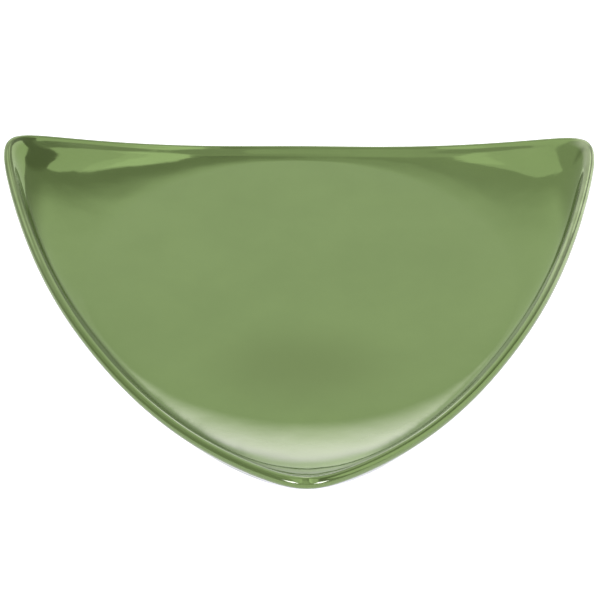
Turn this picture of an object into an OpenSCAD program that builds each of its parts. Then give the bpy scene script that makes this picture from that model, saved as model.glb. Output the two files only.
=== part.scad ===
// Three-cornered coupe plate of glazed ceramic.
// Origin: on the plate's axis, in the plane of the foot's bearing face. +Z is up, one corner points to -Y.
// Lengths are in millimetres and angles in degrees.

/* [Outline] */
// Overall width, across two corners
plate_w = 290; // [220:1:320]
// How far behind the axis each side's arc has its centre, as a share of the arc's radius
side_pull = 0.7735; // [0.7:0.0005:0.8]
// Sharpness of the rim's corners: higher is more pointed
corner_sharpness = 17.8; // [10:0.1:24]

/* [Rim] */
// Height of the lip's centre line at the middle of a side
side_h = 11.2; // [10:0.1:14]
// Rise of the lip's centre line from the middle of a side to a corner
corner_rise = 20.5; // [8:0.5:26]
// How late that rise comes on the way to a corner: 1 is even, 2 is late
rise_power = 1.35; // [1:0.05:2]
// Thickness of the rolled lip
lip_t = 5; // [4:0.1:6]
// Slope of the wall where it meets the lip
wall_slope = 41; // [30:1:50]

/* [Floor] */
// Height of the floor's middle above the table
floor_h = 8; // [7:0.1:9]
// Thickness of the floor
floor_t = 5.2; // [4:0.1:5.5]
// Rise of the floor from the axis to the middle of a side
floor_sag = 2.1; // [0:0.1:2.5]
// Distance from the axis to where the wall's curl begins, towards the middle of a side
well_reach = 99; // [90:1:101]
// Sharpness of the corners of the floor's edge: the lowest is nearly a circle
well_sharpness = 1.1; // [1.1:0.1:4]
// How gently the curl begins: higher is gentler
curl_power = 2.6; // [2:0.1:3]

/* [Foot] */
// Distance from the axis to the outside of the foot, towards the middle of a side
foot_reach = 66; // [50:1:72]
// Sharpness of the foot's corners: lower is rounder
foot_sharpness = 5; // [3:0.5:8]
// Thickness of the foot ring
foot_w = 4; // [3:0.1:6]
// Width of the fillet between the foot and the underside
foot_fillet = 2.5; // [1:0.1:4]

/* [Glaze] */
// Thickness of the glaze
glaze_t = 0.4; // [0.3:0.05:0.6]
// Height of the bare clay between the bearing face and the glaze
dry_band = 1.2; // [0.8:0.1:1.6]

/* [Hidden] */

clay_colour = "#d9cfba";
glaze_colour = "#7d955f";

// The sides' middles face these directions, and the corners lie halfway between them
side_angles = [90, 210, 330];
corner_angle = 30;

// Columns of points round the plate, closer together towards each corner
half_columns = 12;
column_bunching = 1.5;
columns = [
    for (side = side_angles, j = [-half_columns : half_columns - 1])
        side - 60 + 60 * sign(j) * pow(abs(j) / half_columns, column_bunching)
];

// Rows of points in each column
floor_rows = 4;
wall_rows = 8;
lip_rows = 7;
fillet_rows = 4;

// The rows of a wall, 0 where the curl begins and 1 at the lip, closer together towards the lip
wall_bunching = 1.4;
wall_steps = [for (i = [0 : wall_rows]) 1 - pow(1 - i / wall_rows, wall_bunching)];

// How late the rings of the wall take on the rim's sharp corners
sharpening = 1.4;
// Powers of the short last bend that brings the wall to its slope at the lip
flick_powers = [5, 11];
// Step for slopes that are taken as differences
small_step = 0.001;

// The foot is made this much too long and then ground flat
grind = 1;
// Inward slope of the bare foot's sides, as a share of its height
foot_taper = 0.3;

// Distance from the outline's centre to a side's arc of radius 1, in direction a from the side's middle
function arc_reach(a) = sqrt(1 - pow(side_pull * sin(a), 2)) - side_pull * cos(a);

// Three such arcs, blended into one closed outline with rounded corners
function outline(a, sharpness) =
    let (terms = [for (side = side_angles) pow(arc_reach(a - side), -sharpness)])
    pow(terms[0] + terms[1] + terms[2], -1 / sharpness);

// A ring round the axis, by its reach towards the middle of a side
function ring_reach(a, side_reach, sharpness) =
    side_reach * outline(a, sharpness) / outline(side_angles[0], sharpness);

half_widths = [for (a = [0 : 0.5 : 45]) outline(a, corner_sharpness) * cos(a)];
rim_side_reach = plate_w / 2 / max(half_widths) * outline(side_angles[0], corner_sharpness);

function rim_reach(a) = ring_reach(a, rim_side_reach, corner_sharpness);
rim_corner_reach = rim_reach(corner_angle);

function polar(r, a, z) = [r * cos(a), r * sin(a), z];
function unit(v) = v / norm(v);

// Angle in plan between the rim's outward normal and the direction from the axis
function rim_lean(a) = atan((rim_reach(a + 1) - rim_reach(a - 1)) / (2 * PI / 180) / rim_reach(a));

// 0 at the middle of a side, 1 at a corner
function cornerness(a) =
    max(0, rim_reach(a) - rim_side_reach) / (rim_corner_reach - rim_side_reach);

function lip_centre(a) =
    polar(rim_reach(a), a, side_h + corner_rise * pow(cornerness(a), rise_power))
    - polar(lip_t / 2, a - rim_lean(a), 0);

// The lip's centre and its outward and upward directions
function lip_frame(a) =
    let (
        along = unit(lip_centre(a + 0.5) - lip_centre(a - 0.5)),
        out = unit([along.y, -along.x, 0])
    )
    [lip_centre(a), out, cross(out, along)];

// A point on the lip's half round: turn 0 faces outwards and 90 faces up
function lip_point(frame, turn, depth) =
    frame[0] + (lip_t / 2 - depth) * (cos(turn) * frame[1] + sin(turn) * frame[2]);

// Height of a gently dished sheet that passes through the axis at z
function dished(r, z) = z + floor_sag * pow(r / rim_side_reach, 2);

// Sharpness of the corners of the wall's ring t, which is 0 where the curl begins and 1 at the lip
function ring_sharpness(t) =
    well_sharpness * pow(corner_sharpness / well_sharpness, pow(t, sharpening));

// Reach, height above the sheet through z, and heading of the lip's edge at turn
function edge(a, turn, depth, z) =
    let (p = lip_point(lip_frame(a), turn, depth), reach = norm([p.x, p.y]))
    [reach, p.z - dished(reach, z), atan2(p.y, p.x)];

// Reach and height of the wall's ring t, in the direction of heading, for a wall that is to end at the
// height of side_edge in the middle of a side and of corner_edge at a corner
function ring(heading, t, side_edge, corner_edge) =
    let (
        sharpness = ring_sharpness(t),
        side = outline(side_angles[0], sharpness),
        here = outline(heading, sharpness),
        corner = outline(corner_angle, sharpness),
        part = max(0, here - side) / (corner - side)
    )
    [
        (well_reach + (side_edge[0] - well_reach) * t) * here / side,
        side_edge[1] + (corner_edge[1] - side_edge[1]) * pow(part, rise_power)
    ];

// The same, eased so that it ends at end_edge
function eased_ring(t, end_edge, side_edge, corner_edge) =
    let (
        here = ring(end_edge[2], t, side_edge, corner_edge),
        last = ring(end_edge[2], 1, side_edge, corner_edge),
        ease = [for (i = [0, 1]) 1 + (end_edge[i] / last[i] - 1) * pow(t, 2)]
    )
    [here[0] * ease[0], here[1] * ease[1] * pow(t, curl_power)];

// Slope of the wall in the vertical plane through the axis, where it meets the lip
function lip_pitch(a, heading) =
    let (frame = lip_frame(a), face = cos(wall_slope) * frame[2] - sin(wall_slope) * frame[1])
    -face * polar(1, heading, 0) / face.z;

// A column of the wall that curls up from the sheet through z and meets the lip at turn, for each t of ts
function wall_column(a, turn, depth, z, ts) =
    let (
        side_edge = edge(side_angles[0], turn, depth, z),
        corner_edge = edge(corner_angle, turn, depth, z),
        end_edge = edge(a, turn, depth, z),
        last = eased_ring(1, end_edge, side_edge, corner_edge),
        pace = (last - eased_ring(1 - small_step, end_edge, side_edge, corner_edge)) / small_step,
        pitch = lip_pitch(a, end_edge[2]) - 2 * floor_sag * end_edge[0] / pow(rim_side_reach, 2),
        flick = (pitch * pace[0] - pace[1]) / (flick_powers[1] - flick_powers[0])
    )
    [
        for (t = ts)
            let (p = eased_ring(t, end_edge, side_edge, corner_edge))
            polar(p[0], end_edge[2],
                dished(p[0], z) + p[1] + flick * (pow(t, flick_powers[1]) - pow(t, flick_powers[0])))
    ];

// A column of the eating side, from near the axis to the lip. depth is how far it lies under the glaze.
function face_column(a, depth) =
    let (
        z = floor_h - depth,
        heading = edge(a, 90 + wall_slope, depth, z)[2],
        reach = ring_reach(heading, well_reach, well_sharpness)
    )
    [
        for (i = [1 : floor_rows]) let (r = reach * i / floor_rows) polar(r, heading, dished(r, z)),
        each wall_column(a, 90 + wall_slope, depth, z, [for (i = [1 : wall_rows]) wall_steps[i]])
    ];

// A column over the lip, between the two walls
function lip_column(a, depth) =
    let (frame = lip_frame(a))
    [for (i = [1 : lip_rows]) lip_point(frame, 90 + wall_slope - 180 * i / (lip_rows + 1), depth)];

// A column of the fillet, from the underside down to the edge of the glaze.
// way is 1 on the foot's outer side and -1 on its inner side.
function fillet_column(heading, depth, way) =
    let (
        foot = ring_reach(heading, foot_reach, foot_sharpness) - (way < 0 ? foot_w : 0),
        root = foot + way * (foot_fillet + glaze_t - depth),
        root_z = dished(root, floor_h - floor_t + depth)
    )
    [
        for (i = [0 : fillet_rows])
            let (f = 90 * (1 - i / fillet_rows))
            polar(foot + way * (foot_fillet * (1 - cos(f)) + glaze_t - depth), heading,
                dry_band + (root_z - dry_band) * sin(f))
    ];

// The direction in which the underside's column lies
function underside_heading(a) = edge(a, wall_slope - 90, 0, 0)[2];

// A column of the underside, from the lip in to the edge of the glaze on the foot's outer side
function underside_column(a, depth) = [
    each wall_column(a, wall_slope - 90, depth, floor_h - floor_t + depth, backwards(wall_steps)),
    each fillet_column(edge(a, wall_slope - 90, depth, 0)[2], depth, 1)
];

// The bare foot, longer than it will be, from its outer side to its inner side
function bare_foot_column(heading) =
    let (foot = ring_reach(heading, foot_reach, foot_sharpness), slant = foot_taper * (dry_band + grind))
    [
        polar(foot - slant, heading, -grind),
        polar(foot - foot_w + slant, heading, -grind)
    ];

// A column of the underside within the foot, from near the axis out to the fillet
function foot_well_column(heading, depth) =
    let (reach = ring_reach(heading, foot_reach, foot_sharpness) - foot_w - foot_fillet - glaze_t)
    [
        for (i = [1 : floor_rows - 1])
            let (r = reach * i / floor_rows) polar(r, heading, dished(r, floor_h - floor_t + depth))
    ];

function backwards(list) = [for (i = [len(list) - 1 : -1 : 0]) list[i]];

// Triangles of a skin with its pole at point number first, followed by its columns, each of so many rows
function skin_faces(first, rows) = [
    for (j = [0 : len(columns) - 1])
        let (
            here = first + 1 + j * rows,
            next = first + 1 + (j + 1) % len(columns) * rows
        )
        each [
            [first, next, here],
            for (i = [0 : rows - 2])
                each [[here + i, next + i, here + i + 1], [here + i + 1, next + i, next + i + 1]]
        ]
];

// Triangles from the last row of the skin that starts at first to that of the skin that starts at other
function seam_faces(first, first_rows, other, other_rows) = [
    for (j = [0 : len(columns) - 1])
        let (
            k = (j + 1) % len(columns),
            here = first + (j + 1) * first_rows,
            next = first + (k + 1) * first_rows,
            far_here = other + (j + 1) * other_rows,
            far_next = other + (k + 1) * other_rows
        )
        each [[here, next, far_here], [far_here, next, far_next]]
];

// A closed solid between two skins, each a pole and its columns, that are joined at their last rows
module two_skins(pole, skin, other_pole, other_skin) {
    rows = len(skin[0]);
    other_rows = len(other_skin[0]);
    other = 1 + len(columns) * rows;
    polyhedron(
        points = [pole, each [for (c = skin) each c], other_pole, each [for (c = other_skin) each c]],
        faces = [
            each skin_faces(0, rows),
            each [for (f = skin_faces(other, other_rows)) backwards(f)],
            each seam_faces(0, rows, other, other_rows)
        ],
        convexity = 6
    );
}

// The clay, with the foot ground flat to leave its bearing face
module clay_body() color(clay_colour) difference() {
    two_skins(
        [0, 0, floor_h - glaze_t],
        [
            for (a = columns)
                let (heading = underside_heading(a))
                [
                    each face_column(a, glaze_t),
                    each lip_column(a, glaze_t),
                    each underside_column(a, glaze_t),
                    each bare_foot_column(heading)
                ]
        ],
        [0, 0, floor_h - floor_t + glaze_t],
        [
            for (a = columns)
                let (heading = underside_heading(a))
                [
                    each foot_well_column(heading, glaze_t),
                    each fillet_column(heading, glaze_t, -1)
                ]
        ]
    );
    translate([-plate_w, -plate_w, -2 * grind]) cube([2 * plate_w, 2 * plate_w, 2 * grind]);
}

// The glaze over the face, round the lip and under the plate to the foot
module outer_glaze() color(glaze_colour) two_skins(
    [0, 0, floor_h],
    [for (a = columns) [each face_column(a, 0), each lip_column(a, 0), each underside_column(a, 0)]],
    [0, 0, floor_h - glaze_t],
    [
        for (a = columns)
            [each face_column(a, glaze_t), each lip_column(a, glaze_t), each underside_column(a, glaze_t)]
    ]
);

// The glaze on the underside within the foot
module foot_well_glaze() color(glaze_colour) two_skins(
    [0, 0, floor_h - floor_t + glaze_t],
    [
        for (a = columns)
            let (heading = underside_heading(a))
            [each foot_well_column(heading, glaze_t), each fillet_column(heading, glaze_t, -1)]
    ],
    [0, 0, floor_h - floor_t],
    [
        for (a = columns)
            let (heading = underside_heading(a))
            [each foot_well_column(heading, 0), each fillet_column(heading, 0, -1)]
    ]
);

clay_body();
outer_glaze();
foot_well_glaze();
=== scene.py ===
"""Looks, light and camera for a three-cornered coupe plate of glazed ceramic.

The shapes repeat part.scad's rules on a much finer mesh, in metres. Angles are in radians unless a name
says degrees. A skin is a list of rows, and a row is an array of points, one for each column.
"""

import math

import bpy
import numpy as np
from mathutils import Matrix, Vector


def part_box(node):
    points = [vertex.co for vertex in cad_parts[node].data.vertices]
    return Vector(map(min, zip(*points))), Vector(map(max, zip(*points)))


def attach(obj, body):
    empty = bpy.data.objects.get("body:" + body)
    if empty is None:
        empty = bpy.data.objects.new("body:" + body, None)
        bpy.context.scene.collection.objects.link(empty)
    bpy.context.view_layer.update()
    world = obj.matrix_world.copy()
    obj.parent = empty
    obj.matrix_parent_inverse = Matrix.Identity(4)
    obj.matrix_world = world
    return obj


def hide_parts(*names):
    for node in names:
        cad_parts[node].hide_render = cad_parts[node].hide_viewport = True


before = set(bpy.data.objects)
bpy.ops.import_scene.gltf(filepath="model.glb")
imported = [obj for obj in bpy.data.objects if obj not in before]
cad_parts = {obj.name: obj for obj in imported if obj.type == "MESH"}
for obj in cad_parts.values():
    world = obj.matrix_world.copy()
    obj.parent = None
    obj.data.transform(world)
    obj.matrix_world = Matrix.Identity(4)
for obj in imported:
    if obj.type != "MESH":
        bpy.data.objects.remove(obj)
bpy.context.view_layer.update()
COAT_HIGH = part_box("outer_glaze")[1]

MM = 0.001
SIDES = np.radians([90.0, 210.0, 330.0])
CORNER = math.radians(30.0)

# Outline
SIDE_REACH = COAT_HIGH.y
SIDE_PULL = 0.7735
CORNER_SHARPNESS = 17.8

# Rim
LIP = 5.0 * MM
SIDE_HEIGHT = 11.2 * MM
CORNER_HEIGHT = COAT_HIGH.z - LIP / 2
RISE_POWER = 1.35
WALL_SLOPE = math.radians(41.0)

# Floor and walls
FLOOR_HEIGHT = 8.0 * MM
FLOOR_THICKNESS = 5.2 * MM
FLOOR_SAG = 2.1 * MM
WELL_REACH = 99.0 * MM
WELL_SHARPNESS = 1.1
CURL_POWER = 2.6
SHARPENING = 1.4
FLICK_POWERS = (5.0, 11.0)

# Foot
FOOT_REACH = 66.0 * MM
FOOT_SHARPNESS = 5.0
FOOT_WIDTH = 4.0 * MM
FOOT_FILLET = 2.5 * MM
FOOT_TAPER = 0.3
FOOT_ROUND = 0.35 * MM
FOOT_ROUND_STEPS = 4

# Glaze
GLAZE = 0.4 * MM
DRY_BAND = 1.2 * MM
DRY_BAND_WAVER = 0.12 * MM

# Painted shade: the glaze colour is darkened in an oval on the front of the floor, standing in for shade
PAINTED_SHADE_Y = -62.0 * MM
PAINTED_SHADE_CORE, PAINTED_SHADE_REACH = 5.0 * MM, 60.0 * MM
PAINTED_SHADE_SQUASH = 1.5
PAINTED_SHADE_SHARE = 0.75

# Painted highlight: the glaze is painted paler near the lip, on the sides that face left and right, towards
# the back, and less on the left
HIGHLIGHT_FULL_GAP, HIGHLIGHT_END_GAP = 1.0, 1.6
HIGHLIGHT_FROM_Y, HIGHLIGHT_TO_Y = -50.0 * MM, 30.0 * MM
HIGHLIGHT_FROM_SIDEWAYS, HIGHLIGHT_SIDEWAYS_SPAN = 0.45, 0.35
HIGHLIGHT_LEFT_SHARE = 0.35

# The glaze's surface: a broad swell that is weak on the floor, and a fine ripple
SWELL_DEPTH, RIPPLE_DEPTH = 0.25 * MM, 0.02 * MM
SWELL_FROM, SWELL_TO = 60.0 * MM, 95.0 * MM
FLOOR_SWELL_SHARE = 0.2

# Colours of the glaze and the clay
GLAZE_LOW, GLAZE_HIGH = (0.092, 0.145, 0.037, 1.0), (0.102, 0.159, 0.042, 1.0)
# The next colour is painted shade for the front of the floor.
GLAZE_PAINTED_SHADE = (0.074, 0.116, 0.026, 1.0)
# The next colour is a painted highlight, paler glaze for the lip.
GLAZE_PAINTED_HIGHLIGHT = (0.24, 0.30, 0.15, 1.0)
CLAY_LOW, CLAY_HIGH = (0.60, 0.50, 0.36, 1.0), (0.72, 0.63, 0.49, 1.0)
CLAY_GRAIN = (0.22, 0.15, 0.09, 1.0)

# Mesh density
HALF_COLUMNS = 48
COLUMN_BUNCHING = 1.3

# Rows in each part of a skin. Hidden skins, where the glaze meets the clay, have fewer.
FLOOR_ROWS, HIDDEN_FLOOR_ROWS = 14, 7
WALL_ROWS, HIDDEN_WALL_ROWS = 48, 24
LIP_ROWS, HIDDEN_LIP_ROWS = 30, 14
UNDERSIDE_ROWS, HIDDEN_UNDERSIDE_ROWS = 40, 20
FILLET_ROWS, HIDDEN_FILLET_ROWS, COAT_FILLET_ROWS = 10, 6, 5
WELL_ROWS, HIDDEN_WELL_ROWS = 20, 10
BEAD_ROWS = 5

# Studio. The room's left is bright and its right is darker, and it turns from one to the other within
# this x of the middle, where directions have length 1.
ROOM_TURN_X = 0.137
PANEL_DISTANCE = 8.0
TUBE_HEIGHT = 7.9
EDGE_TUBE_HEIGHT = 7.95
LAMP_ELEVATION_DEGREES = 19
LAMP_HALF_WIDTH_DEGREES, LAMP_HALF_HEIGHT_DEGREES = 22, 9
LAMP_COLOUR = (19.0, 14.0, 32.0)
FLOOR_RADIUS, BACKDROP_RADIUS = 4.0, 4.5

# Camera, at the photo's viewing angle. The lens and the sensor are in millimetres.
LENS, SENSOR = 122.5, 36.0
CAMERA_TARGET = Vector((-0.0005, -0.0060, 0.0024))
CAMERA_DISTANCE = 0.9552
CAMERA_AZIMUTH, CAMERA_ELEVATION, CAMERA_ROLL = np.radians([-1.29, 37.7, -0.99]).tolist()


def column_angles():
    """Directions of the columns round the plate, closer together towards each corner."""
    j = np.arange(-HALF_COLUMNS, HALF_COLUMNS)
    turn = np.radians(60) * np.sign(j) * (np.abs(j) / HALF_COLUMNS) ** COLUMN_BUNCHING
    return np.concatenate([side - np.radians(60) + turn for side in SIDES])


ANGLES = column_angles()


# ---------------------------------------------------------------- shape

def arc_reach(a):
    """Distance from the outline's centre to a side's arc of radius 1, in direction a from its middle."""
    return np.sqrt(1 - (SIDE_PULL * np.sin(a)) ** 2) - SIDE_PULL * np.cos(a)


def outline(a, sharpness):
    """Distance from the centre to the three arcs in direction a. A higher sharpness tightens corners."""
    return sum(arc_reach(a - side) ** -sharpness for side in SIDES) ** (-1 / sharpness)


def ring_reach(a, side_reach, sharpness):
    """The outline's reach in direction a, scaled to side_reach at the middles of its sides."""
    return side_reach * outline(a, sharpness) / outline(SIDES[0], sharpness)


def rim_reach(a):
    return ring_reach(a, SIDE_REACH, CORNER_SHARPNESS)


def polar(r, heading, z):
    """Points at distance r from the axis in direction heading, at height z."""
    return np.stack([r * np.cos(heading), r * np.sin(heading), z + 0 * r], -1)


def unit(v):
    return v / np.linalg.norm(v, axis=-1, keepdims=True)


def lip_centre(a):
    """The middle line of the lip's roll, which rises towards the corners."""
    step = 1e-4
    reach = rim_reach(a)
    lean = np.arctan2((rim_reach(a + step) - rim_reach(a - step)) / (2 * step), reach)
    cornerness = np.maximum(0, reach - SIDE_REACH) / (rim_reach(CORNER) - SIDE_REACH)
    height = SIDE_HEIGHT + (CORNER_HEIGHT - SIDE_HEIGHT) * cornerness ** RISE_POWER
    return polar(reach, a, height) - polar(LIP / 2 + 0 * a, a - lean, 0)


def lip_frame(a):
    """The lip's centre and its outward and upward directions."""
    step = 1e-3
    along = unit(lip_centre(a + step) - lip_centre(a - step))
    out = unit(np.stack([along[..., 1], -along[..., 0], 0 * along[..., 0]], -1))
    return lip_centre(a), out, np.cross(out, along)


def lip_point(a, turn, depth):
    """A point on the lip's half round: turn 0 faces outwards and a quarter turn faces up."""
    centre, out, up = lip_frame(a)
    return centre + (LIP / 2 - depth) * (math.cos(turn) * out + math.sin(turn) * up)


def dished(r, z):
    """Height at distance r from the axis of the gently dished sheet whose middle is at height z."""
    return z + FLOOR_SAG * (r / SIDE_REACH) ** 2


def edge(a, turn, depth, z):
    """Reach, height above the sheet through z, and heading of the lip's edge at turn."""
    p = lip_point(a, turn, depth)
    reach = np.hypot(p[..., 0], p[..., 1])
    return reach, p[..., 2] - dished(reach, z), np.arctan2(p[..., 1], p[..., 0])


def lip_pitch(a, heading):
    """Slope of the wall in the vertical plane through the axis, where it meets the lip."""
    _, out, up = lip_frame(a)
    face = math.cos(WALL_SLOPE) * up - math.sin(WALL_SLOPE) * out
    return -(face[..., 0] * np.cos(heading) + face[..., 1] * np.sin(heading)) / face[..., 2]


def wall_rows(turn, depth, z, ts):
    """A row for each t of a wall that curls up from the sheet through z and meets the lip at turn."""
    ends = [edge(np.array([a]), turn, depth, z) for a in (SIDES[0], CORNER)]
    (side_reach, side_rise), (_, corner_rise) = [(e[0][0], e[1][0]) for e in ends]
    reach, rise, heading = edge(ANGLES, turn, depth, z)

    def ring(t):
        sharpness = WELL_SHARPNESS * (CORNER_SHARPNESS / WELL_SHARPNESS) ** (t ** SHARPENING)
        side, corner = outline(SIDES[0], sharpness), outline(CORNER, sharpness)
        here = outline(heading, sharpness)
        part = np.maximum(0, here - side) / (corner - side)
        lift = side_rise + (corner_rise - side_rise) * part ** RISE_POWER
        return (WELL_REACH + (side_reach - WELL_REACH) * t) * here / side, lift

    last_reach, last_lift = ring(1.0)

    def eased(t):
        r, lift = ring(t)
        r = r * (1 + (reach / last_reach - 1) * t ** 2)
        return r, lift * (1 + (rise / last_lift - 1) * t ** 2) * t ** CURL_POWER

    step = 1e-3
    (r0, h0), (r1, h1) = eased(1 - step), eased(1.0)
    pitch = lip_pitch(ANGLES, heading) - 2 * FLOOR_SAG * reach / SIDE_REACH ** 2
    flick = (pitch * (r1 - r0) - (h1 - h0)) / step / (FLICK_POWERS[1] - FLICK_POWERS[0])
    rows = []
    for t in ts:
        r, height = eased(t)
        height = height + flick * (t ** FLICK_POWERS[1] - t ** FLICK_POWERS[0])
        rows.append(polar(r, heading, dished(r, z) + height))
    return rows


def face_rows(depth, floor_count, wall_count):
    """The eating side, from near the axis to the lip. depth is how far it lies under the glaze."""
    z = FLOOR_HEIGHT - depth
    turn = math.pi / 2 + WALL_SLOPE
    heading = edge(ANGLES, turn, depth, z)[2]
    reach = ring_reach(heading, WELL_REACH, WELL_SHARPNESS)
    floor = [polar(reach * s, heading, dished(reach * s, z)) for s in steps(floor_count)]
    return floor + wall_rows(turn, depth, z, steps(wall_count))


def steps(count):
    """count numbers from just above 0 up to 1."""
    return np.arange(1, count + 1) / count


def lip_rows(depth, count):
    """The lip's half round, without its two edges."""
    turns = math.pi / 2 + WALL_SLOPE - math.pi * np.arange(1, count + 1) / (count + 1)
    return [lip_point(ANGLES, turn, depth) for turn in turns]


def underside_rows(depth, count):
    """The underside, from the lip in to the root of the foot's fillet."""
    z = FLOOR_HEIGHT - FLOOR_THICKNESS + depth
    return wall_rows(WALL_SLOPE - math.pi / 2, depth, z, 1 - np.arange(0, count + 1) / count)


def underside_heading():
    """Direction of each column on the underside."""
    return edge(ANGLES, WALL_SLOPE - math.pi / 2, 0, 0)[2]


def foot_reach(way):
    """Reach of the foot's outer side, way 1, or its inner side, way -1, above the bare clay."""
    return ring_reach(underside_heading(), FOOT_REACH, FOOT_SHARPNESS) - (FOOT_WIDTH if way < 0 else 0)


def fillet_rows(depth, way, count, line):
    """The fillet from the underside down to height line, outside the foot, way 1, or inside, way -1."""
    heading = underside_heading()
    foot = foot_reach(way)
    root_z = dished(foot + way * (FOOT_FILLET + GLAZE - depth), FLOOR_HEIGHT - FLOOR_THICKNESS + depth)
    rows = []
    for f in np.radians(90) * (1 - np.arange(0, count + 1) / count):
        out = way * (FOOT_FILLET * (1 - math.cos(f)) + GLAZE - depth)
        rows.append(polar(foot + out, heading, line + (root_z - line) * math.sin(f)))
    return rows


def well_rows(depth, count):
    """The underside within the foot, from near the axis out to the fillet."""
    heading = underside_heading()
    reach = foot_reach(-1) - FOOT_FILLET - GLAZE + depth
    z = FLOOR_HEIGHT - FLOOR_THICKNESS + depth
    return [polar(reach * s, heading, dished(reach * s, z)) for s in steps(count)[:-1]]


def glaze_line():
    """Height of the glaze's wiped edge above the table: it wavers a little, as a sponge leaves it."""
    a = underside_heading()
    waver = 0.5 * np.sin(5 * a + 0.7) + 0.3 * np.sin(13 * a + 2.1) + 0.2 * np.sin(31 * a)
    return DRY_BAND + DRY_BAND_WAVER * waver


def bead_rows(way, line, count):
    """The glaze's rounded edge on the foot, from its outer skin to the clay."""
    heading = underside_heading()
    radius = GLAZE / 2
    middle = foot_reach(way) + way * radius
    turns = math.pi * np.arange(1, count + 1) / (count + 1)
    return [polar(middle + way * radius * math.cos(t), heading, line - radius * math.sin(t)) for t in turns]


def bare_foot_rows():
    """The bare foot from its outer side, round its two eased edges, to its inner side."""
    heading = underside_heading()
    outer = foot_reach(1) - FOOT_TAPER * DRY_BAND
    inner = foot_reach(-1) + FOOT_TAPER * DRY_BAND
    turns = np.radians(90) * np.arange(0, FOOT_ROUND_STEPS + 1) / FOOT_ROUND_STEPS
    rounds = [(FOOT_ROUND * (1 - math.cos(t)), FOOT_ROUND * (1 - math.sin(t))) for t in turns]
    rows = [polar(outer - i + FOOT_TAPER * z, heading, z) for i, z in rounds]
    rows += [polar(outer + (inner - outer) * s, heading, 0) for s in (0.3, 0.5, 0.7)]
    return rows + [polar(inner + i - FOOT_TAPER * z, heading, z) for i, z in rounds[::-1]]


# ---------------------------------------------------------------- meshes

def pole(z):
    """The single point at height z on the axis, where a skin closes."""
    return np.array([[0.0, 0.0, z]])


def closed_mesh(name, first, rows, last):
    """A closed smooth mesh from a pole at height first, through the rows, to a pole at height last."""
    n = len(ANGLES)
    points = np.concatenate([pole(first), *rows, pole(last)])
    here = np.arange(n)
    following = (here + 1) % n
    start = 1 + n * np.arange(len(rows))
    quads = [
        np.stack([s + here, s + n + here, s + n + following, s + following], -1) for s in start[:-1]
    ]
    caps = [
        np.stack([0 * here, start[0] + here, start[0] + following], -1),
        np.stack([0 * here + len(points) - 1, start[-1] + following, start[-1] + here], -1),
    ]
    mesh = bpy.data.meshes.new(name)
    mesh.from_pydata(points.tolist(), [], [face for faces in quads + caps for face in faces.tolist()])
    mesh.polygons.foreach_set("use_smooth", [True] * len(mesh.polygons))
    mesh.validate()
    mesh.update()
    piece = bpy.data.objects.new(name, mesh)
    bpy.context.scene.collection.objects.link(piece)
    return piece


def add_attribute(piece, name, values):
    """Store a number for each point of the piece, which its material reads by name."""
    attribute = piece.data.attributes.new(name, "FLOAT", "POINT")
    attribute.data.foreach_set("value", np.asarray(values, np.float32))


def lip_highlight_share(row):
    """Share of painted highlight at each point of a row, from 0 to 1: paler colour standing in for light on
    the lip. It is there only near the lip.
    """
    centre, out, _ = lip_frame(ANGLES)
    gap = np.linalg.norm(row - centre, axis=-1) / (LIP / 2)
    near = (HIGHLIGHT_END_GAP - gap) / (HIGHLIGHT_END_GAP - HIGHLIGHT_FULL_GAP)
    back = (row[:, 1] - HIGHLIGHT_FROM_Y) / (HIGHLIGHT_TO_Y - HIGHLIGHT_FROM_Y)
    sideways = (np.abs(out[:, 0]) - HIGHLIGHT_FROM_SIDEWAYS) / HIGHLIGHT_SIDEWAYS_SPAN
    side_share = np.where(out[:, 0] > 0, 1.0, HIGHLIGHT_LEFT_SHARE)
    return np.clip(near, 0, 1) * np.clip(back, 0, 1) * np.clip(sideways, 0, 1) * side_share


def glaze_coat():
    """The glaze over the face, round the lip and under the plate to the foot."""
    line = glaze_line()
    outer = (
        face_rows(0, FLOOR_ROWS, WALL_ROWS)
        + lip_rows(0, LIP_ROWS)
        + underside_rows(0, UNDERSIDE_ROWS)
        + fillet_rows(0, 1, FILLET_ROWS, line)
        + bead_rows(1, line, BEAD_ROWS)
    )
    inner = (
        face_rows(GLAZE, HIDDEN_FLOOR_ROWS, HIDDEN_WALL_ROWS)
        + lip_rows(GLAZE, HIDDEN_LIP_ROWS)
        + underside_rows(GLAZE, HIDDEN_UNDERSIDE_ROWS)
        + fillet_rows(GLAZE, 1, COAT_FILLET_ROWS, line)
    )
    rows = outer + inner[::-1]
    coat = closed_mesh("glaze_coat", FLOOR_HEIGHT, rows, FLOOR_HEIGHT - GLAZE)
    # Each point's share of the painted highlight, which the material reads.
    add_attribute(coat, "lip_highlight", np.concatenate([[0.0], *(lip_highlight_share(row) for row in rows), [0.0]]))
    return coat


def foot_well_coat():
    """The glaze on the underside within the foot."""
    line = glaze_line()
    under = FLOOR_HEIGHT - FLOOR_THICKNESS
    hidden = well_rows(GLAZE, HIDDEN_WELL_ROWS) + fillet_rows(GLAZE, -1, HIDDEN_FILLET_ROWS, line)
    shown = (
        well_rows(0, WELL_ROWS)
        + fillet_rows(0, -1, FILLET_ROWS, line)
        + bead_rows(-1, line, BEAD_ROWS)
    )
    return closed_mesh("foot_well_coat", under + GLAZE, hidden + shown[::-1], under)


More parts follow.
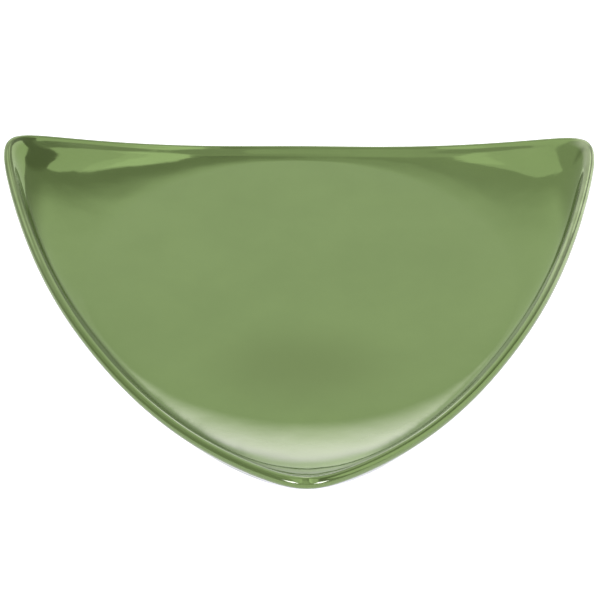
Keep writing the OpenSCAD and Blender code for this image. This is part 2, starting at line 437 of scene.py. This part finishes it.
def clay_form():
    """The clay under the glaze, with its bare ground foot."""
    rows = (
        face_rows(GLAZE, HIDDEN_FLOOR_ROWS, HIDDEN_WALL_ROWS)
        + lip_rows(GLAZE, HIDDEN_LIP_ROWS)
        + underside_rows(GLAZE, HIDDEN_UNDERSIDE_ROWS)
        + fillet_rows(GLAZE, 1, HIDDEN_FILLET_ROWS, DRY_BAND)
        + bare_foot_rows()
        + fillet_rows(GLAZE, -1, HIDDEN_FILLET_ROWS, DRY_BAND)[::-1]
        + well_rows(GLAZE, HIDDEN_WELL_ROWS)[::-1]
    )
    return closed_mesh("clay_form", FLOOR_HEIGHT - GLAZE, rows, FLOOR_HEIGHT - FLOOR_THICKNESS + GLAZE)


# ---------------------------------------------------------------- materials

class Nodes:
    """Short ways to add and join nodes in one node tree."""

    def __init__(self, tree):
        self.tree = tree
        tree.nodes.clear()

    def add(self, kind, inputs=None, **settings):
        node = self.tree.nodes.new(kind)
        for key, value in settings.items():
            setattr(node, key, value)
        for key, value in (inputs or {}).items():
            socket = node.inputs[key]
            if isinstance(value, bpy.types.NodeSocket):
                self.tree.links.new(value, socket)
            else:
                socket.default_value = value
        return node

    def math(self, operation, *values):
        return self.add("ShaderNodeMath", dict(enumerate(values)), operation=operation).outputs[0]

    def product(self, *factors):
        result = factors[0]
        for factor in factors[1:]:
            result = self.math("MULTIPLY", result, factor)
        return result

    def spread(self, value, from_low, from_high, to_low=0.0, to_high=1.0):
        """value moved from one range to the other, with soft ends."""
        inputs = dict(enumerate((value, from_low, from_high, to_low, to_high)))
        return self.add("ShaderNodeMapRange", inputs, interpolation_type="SMOOTHSTEP").outputs[0]

    def noise(self, place, scale, detail=2.0, roughness=0.5, distortion=0.0):
        inputs = {
            "Vector": place, "Scale": scale, "Detail": detail, "Roughness": roughness,
            "Distortion": distortion,
        }
        return self.add("ShaderNodeTexNoise", inputs).outputs["Fac"]

    def mix(self, share, a, b):
        """Colour a where share is 0 and colour b where it is 1."""
        inputs = {0: share, 6: a, 7: b}
        return self.add("ShaderNodeMix", inputs, data_type="RGBA", clamp_factor=True).outputs[2]

    def bump(self, height, distance, normal=None):
        inputs = {"Height": height, "Distance": distance}
        if normal is not None:
            inputs["Normal"] = normal
        return self.add("ShaderNodeBump", inputs).outputs["Normal"]


def new_material(name):
    """An empty material and the Nodes that fill it."""
    material = bpy.data.materials.new(name)
    material.use_nodes = True
    return material, Nodes(material.node_tree)


def grey(x):
    return (x, x, x, 1.0)


def beyond_floor(n, place):
    """Share by which the surface swells: little on the floor and fully on the walls."""
    reach = n.add("ShaderNodeVectorMath", {0: place}, operation="LENGTH").outputs["Value"]
    return n.spread(reach, SWELL_FROM, SWELL_TO, FLOOR_SWELL_SHARE, 1.0)


def painted_floor_shade(n, place):
    """Share of painted shade: the glaze colour is darker in an oval on the front of the floor."""
    squash = (1.0, PAINTED_SHADE_SQUASH, 1.0)
    oval = n.add("ShaderNodeVectorMath", {0: place, 1: squash}, operation="MULTIPLY").outputs[0]
    centre = (0.0, PAINTED_SHADE_Y * PAINTED_SHADE_SQUASH, FLOOR_HEIGHT)
    away = n.add("ShaderNodeVectorMath", {0: oval, 1: centre}, operation="DISTANCE").outputs["Value"]
    return n.spread(away, PAINTED_SHADE_CORE, PAINTED_SHADE_REACH, PAINTED_SHADE_SHARE, 0.0)


def painted_lip_highlight(n, cloud):
    """Share by which the glaze is painted paler over the lip, as a highlight."""
    lip_highlight = n.add("ShaderNodeAttribute", attribute_name="lip_highlight").outputs["Fac"]
    return n.math("MULTIPLY", lip_highlight, n.spread(cloud, 0.3, 0.6, 0.5, 0.9))


def glaze_material():
    """Glossy green glaze: a little uneven in depth, with painted shade on the front of the floor, a painted
    highlight over the lip, and the faintest ripple in its surface.
    """
    material, n = new_material("green_glaze")
    place = n.add("ShaderNodeTexCoord").outputs["Object"]
    drift = n.noise(place, 16.0, detail=3.0, roughness=0.55, distortion=0.4)
    cloud = n.noise(place, 70.0, detail=4.0, roughness=0.6)
    grain = n.noise(place, 900.0, detail=2.0)
    depth = n.math("ADD", n.math("MULTIPLY", drift, 0.6), n.math("MULTIPLY", cloud, 0.3))
    depth = n.math("ADD", depth, n.math("MULTIPLY", grain, 0.1))
    colour = n.mix(n.spread(depth, 0.3, 0.7), GLAZE_LOW, GLAZE_HIGH)
    # Painted shade: the colour goes darker in an oval on the front of the floor.
    colour = n.mix(painted_floor_shade(n, place), colour, GLAZE_PAINTED_SHADE)
    # Painted highlight: the colour goes paler over the lip, most at the back and on the right.
    colour = n.mix(painted_lip_highlight(n, cloud), colour, GLAZE_PAINTED_HIGHLIGHT)
    swell = n.math("MULTIPLY", n.noise(place, 42.0, detail=1.0), beyond_floor(n, place))
    ripple = n.noise(place, 220.0, detail=1.0)
    normal = n.bump(ripple, RIPPLE_DEPTH, normal=n.bump(swell, SWELL_DEPTH))
    shader = n.add("ShaderNodeBsdfPrincipled", {
        "Base Color": colour, "Metallic": 0.6, "Roughness": 0.07, "IOR": 1.5, "Normal": normal,
    })
    n.add("ShaderNodeOutputMaterial", {"Surface": shader.outputs[0]})
    return material


def clay_material():
    """Bare fired clay, buff with fine dark grains, ground smooth."""
    material, n = new_material("bare_clay")
    place = n.add("ShaderNodeTexCoord").outputs["Object"]
    cloud = n.noise(place, 60.0, detail=4.0)
    grain = n.noise(place, 1500.0, detail=2.0, roughness=0.7)
    colour = n.mix(n.spread(cloud, 0.3, 0.7), CLAY_LOW, CLAY_HIGH)
    colour = n.mix(n.spread(grain, 0.62, 0.72, 0.0, 0.7), colour, CLAY_GRAIN)
    normal = n.bump(grain, 0.05 * MM)
    shader = n.add("ShaderNodeBsdfPrincipled", {
        "Base Color": colour, "Roughness": 0.85, "IOR": 1.45, "Normal": normal,
    })
    n.add("ShaderNodeOutputMaterial", {"Surface": shader.outputs[0]})
    return material


# ---------------------------------------------------------------- stage, light and camera

def direction(azimuth_degrees, elevation_degrees):
    """Towards +Y at azimuth 0 and towards +X at 90."""
    a, e = math.radians(azimuth_degrees), math.radians(elevation_degrees)
    return Vector((math.sin(a) * math.cos(e), math.cos(a) * math.cos(e), math.sin(e)))


def panel(name, corners, radiance, colour=(1.0, 1.0, 1.0)):
    """A flat glowing panel through the corners, which the camera doesn't see."""
    mesh = bpy.data.meshes.new(name)
    mesh.from_pydata([list(c) for c in corners], [], [list(range(len(corners)))])
    material, n = new_material(name)
    glow = n.add("ShaderNodeEmission", {"Color": (*colour, 1.0), "Strength": radiance})
    n.add("ShaderNodeOutputMaterial", {"Surface": glow.outputs[0]})
    mesh.materials.append(material)
    board = bpy.data.objects.new(name, mesh)
    board.visible_camera = False
    board.visible_shadow = False
    bpy.context.scene.collection.objects.link(board)


def overhead(name, outline_points, radiance, height=PANEL_DISTANCE):
    """A level panel above the plate, by its corners' places for a height of 1."""
    panel(name, [(x * height, y * height, height) for x, y in outline_points], radiance)


def side_card(name, way, outline_points, radiance):
    """An upright panel, right for way 1 and left for way -1, by its corners' places for a distance of 1."""
    corners = [(way * PANEL_DISTANCE, y * PANEL_DISTANCE, z * PANEL_DISTANCE) for y, z in outline_points]
    panel(name, corners, radiance)


def lamp(name, azimuth_degrees):
    """A diamond-shaped panel, low at the front left or front right, which faces the plate."""
    way = direction(azimuth_degrees, LAMP_ELEVATION_DEGREES)
    half_width = math.tan(math.radians(LAMP_HALF_WIDTH_DEGREES))
    half_height = math.tan(math.radians(LAMP_HALF_HEIGHT_DEGREES))
    right = way.cross(Vector((0, 0, 1))).normalized()
    across, upward = right * half_width, right.cross(way) * half_height
    corners = [PANEL_DISTANCE * (way + offset) for offset in (-across, -upward, across, upward)]
    panel(name, corners, 1.0, LAMP_COLOUR)


def room(n):
    """The room's light by direction: dim walls, and a glow behind the plate with a bright slit in it."""
    way = n.add("ShaderNodeTexCoord").outputs["Generated"]
    x, y, z = n.add("ShaderNodeSeparateXYZ", {0: way}).outputs
    azimuth = n.math("ARCTAN2", x, y)
    off = n.math("ABSOLUTE", azimuth)
    elevation = n.math("ARCSINE", z)

    def ramp(angle, start_degrees, end_degrees, low=0.0, high=1.0):
        return n.spread(angle, math.radians(start_degrees), math.radians(end_degrees), low, high)

    def without(*factors):
        return n.math("SUBTRACT", 1.0, n.product(*factors))

    walls = n.product(
        n.spread(x, -ROOM_TURN_X, ROOM_TURN_X, 1.0, 0.42),
        without(ramp(azimuth, 46, 58), ramp(azimuth, 112, 102), ramp(elevation, 26, 34)),
        without(ramp(azimuth, -52, -62), ramp(elevation, 34, 28, 0.0, 0.5)),
    )
    front = ramp(off, 125, 150, 0.0, 0.5)
    glow_top = ramp(elevation, 51, 40)
    glow_left = n.product(
        glow_top,
        ramp(elevation, 3, 19, 0.25, 1.0),
        ramp(azimuth, -38, -22),
        ramp(azimuth, 10, -6, 0.0, 0.85),
    )
    glow_right = n.product(
        glow_top,
        ramp(elevation, 0, 29),
        ramp(azimuth, -6, 10, 0.0, 1.35),
        ramp(azimuth, 42, 18),
    )
    seam = n.product(ramp(off, 5.5, 3), ramp(elevation, 40, 50, 0.0, 0.4))
    total = walls
    for part in (front, glow_left, glow_right, seam):
        total = n.math("ADD", total, part)
    slit_off = n.math("ABSOLUTE", n.math("SUBTRACT", azimuth, math.radians(1)))
    slit = n.product(ramp(slit_off, 6, 2), ramp(elevation, 36, 16), ramp(elevation, 5, 17, 1.1, 2.4))
    tint = n.mix(ramp(elevation, 4, 13), (1.2, 1.2, 1.15, 1.0), (1.4, 1.05, 1.85, 1.0))
    plain = n.add("ShaderNodeBackground", {"Color": grey(1.0), "Strength": total})
    tinted = n.add("ShaderNodeBackground", {"Color": tint, "Strength": slit})
    return n.add("ShaderNodeAddShader", {0: plain.outputs[0], 1: tinted.outputs[0]}).outputs[0]


def softboxes():
    """Two large softboxes overhead, brighter tubes just under them, and a window behind the camera."""
    overhead("softbox_right", [
        (0.13, 0.64), (0.27, 0.64), (0.38, 0.56), (0.66, 0.54), (0.67, 0.2), (0.79, -0.1), (1.06, -0.45),
        (1.08, -1.0), (1.15, -1.5), (1.0, -1.85), (0.74, -1.85), (0.6, -1.4), (0.26, -0.6), (0.14, 0.1),
    ], 1.95)
    overhead("tube_right_edge", [
        (0.14, 0.61), (0.33, 0.59), (0.36, 0.0), (0.50, -0.6), (0.95, -1.5), (0.63, -1.5), (0.25, -0.6),
        (0.14, 0.1),
    ], 2.35, EDGE_TUBE_HEIGHT)
    overhead("softbox_left", [
        (-0.35, 0.61), (-0.25, 0.5), (-0.20, 0.3), (-0.25, 0.0), (-0.36, -0.5), (-0.75, -1.5),
        (-0.85, -1.9), (-1.3, -1.9), (-1.08, -0.6), (-0.9, 0.0), (-0.84, 0.3), (-0.84, 0.61),
    ], 2.0)
    overhead("tube_right", [
        (0.14, 0.6), (0.26, 0.6), (0.28, 0.0), (0.40, -0.6), (0.80, -1.5), (0.62, -1.5), (0.25, -0.6),
        (0.14, 0.1),
    ], 2.9, TUBE_HEIGHT)
    overhead("tube_left", [
        (-0.20, 0.35), (-0.25, 0.0), (-0.36, -0.5), (-0.72, -1.5), (-0.86, -1.5), (-0.50, -0.5),
        (-0.38, 0.0), (-0.32, 0.35),
    ], 2.5, TUBE_HEIGHT)
    overhead("window", [
        (-0.08, -0.5), (0.08, -0.5), (0.2, -1.0), (0.35, -1.5), (0.6, -3.0), (-0.6, -3.0), (-0.35, -1.5),
        (-0.2, -1.0),
    ], 1.45)


def studio():
    """The room, the softboxes, a low card at each side, and two lamps low at the front."""
    world = bpy.data.worlds.new("studio")
    world.use_nodes = True
    n = Nodes(world.node_tree)
    n.add("ShaderNodeOutputWorld", {"Surface": room(n)})
    bpy.context.scene.world = world
    softboxes()
    side_card("card_right", 1, [
        (2.05, -0.1), (1.68, 0.0), (1.4, 0.22), (1.19, 0.40), (1.0, 0.56), (0.89, 0.62), (0.75, 0.66),
        (0.55, 0.71), (0.4, 0.77), (0.1, 0.81), (0.1, -0.1),
    ], 2.1)
    side_card("card_left", -1, [
        (1.7, -0.15), (1.48, 0.0), (1.1, 0.19), (1.0, 0.3), (0.6, 0.3), (0.6, -0.15),
    ], 1.9)
    lamp("lamp_left", -123)
    lamp("lamp_right", 125)


def disc(name, radius):
    """A flat disc at the height of the table."""
    mesh = bpy.data.meshes.new(name)
    turns = np.radians(np.arange(0, 360, 5))
    mesh.from_pydata(polar(radius + 0 * turns, turns, 0.0).tolist(), [], [list(range(len(turns)))])
    sheet = bpy.data.objects.new(name, mesh)
    bpy.context.scene.collection.objects.link(sheet)
    return sheet


def floor_material():
    """A pale floor that glows a little, so that it stays white, and is clear from below."""
    material, n = new_material("pale_floor")
    diffuse = n.add("ShaderNodeBsdfDiffuse", {"Color": grey(0.6)})
    glow = n.add("ShaderNodeEmission", {"Color": grey(1.0), "Strength": 0.8})
    lit = n.add("ShaderNodeAddShader", {0: diffuse.outputs[0], 1: glow.outputs[0]})
    clear = n.add("ShaderNodeBsdfTransparent")
    under = n.add("ShaderNodeNewGeometry").outputs["Backfacing"]
    shown = n.add("ShaderNodeMixShader", {0: under, 1: lit.outputs[0], 2: clear.outputs[0]})
    n.add("ShaderNodeOutputMaterial", {"Surface": shown.outputs[0]})
    return material


def backdrop_material():
    """Plain white light."""
    material, n = new_material("pale_backdrop")
    glow = n.add("ShaderNodeEmission", {"Color": grey(1.0), "Strength": 1.0})
    n.add("ShaderNodeOutputMaterial", {"Surface": glow.outputs[0]})
    return material


def stage():
    """The floor, and a white sphere round everything that only the camera sees."""
    floor = disc("floor", FLOOR_RADIUS)
    floor.data.materials.append(floor_material())
    bpy.ops.mesh.primitive_ico_sphere_add(subdivisions=4, radius=BACKDROP_RADIUS)
    backdrop = bpy.context.object
    backdrop.name = "backdrop"
    backdrop.data.materials.append(backdrop_material())
    for flag in ("visible_diffuse", "visible_glossy", "visible_transmission", "visible_shadow"):
        setattr(backdrop, flag, False)


def camera():
    """The camera, which looks at the target from in front and above, rolled a little."""
    data = bpy.data.cameras.new("camera")
    data.sensor_width = SENSOR
    data.lens = LENS
    data.clip_start, data.clip_end = 0.05, 20.0
    cam = bpy.data.objects.new("camera", data)
    bpy.context.scene.collection.objects.link(cam)
    level, rise = math.cos(CAMERA_ELEVATION), math.sin(CAMERA_ELEVATION)
    back = Vector((math.sin(CAMERA_AZIMUTH) * level, -math.cos(CAMERA_AZIMUTH) * level, rise))
    right = Vector((math.cos(CAMERA_AZIMUTH), math.sin(CAMERA_AZIMUTH), 0.0))
    up = back.cross(right)
    across = math.cos(CAMERA_ROLL) * right - math.sin(CAMERA_ROLL) * up
    upright = math.sin(CAMERA_ROLL) * right + math.cos(CAMERA_ROLL) * up
    turn = Matrix((across, upright, back)).transposed()
    cam.matrix_world = Matrix.Translation(CAMERA_TARGET + CAMERA_DISTANCE * back) @ turn.to_4x4()
    bpy.context.scene.camera = cam


def finish_piece(piece, node, material):
    """Give the piece its material, put it under the body's empty, and hide the CAD node that it replaces.
    """
    piece.data.materials.append(material)
    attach(piece, "root")
    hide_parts(node)


camera()
glaze = glaze_material()
finish_piece(glaze_coat(), "outer_glaze", glaze)
finish_piece(foot_well_coat(), "foot_well_glaze", glaze)
finish_piece(clay_form(), "clay_body", clay_material())
stage()
studio()
bpy.context.scene.view_settings.view_transform = "Standard"
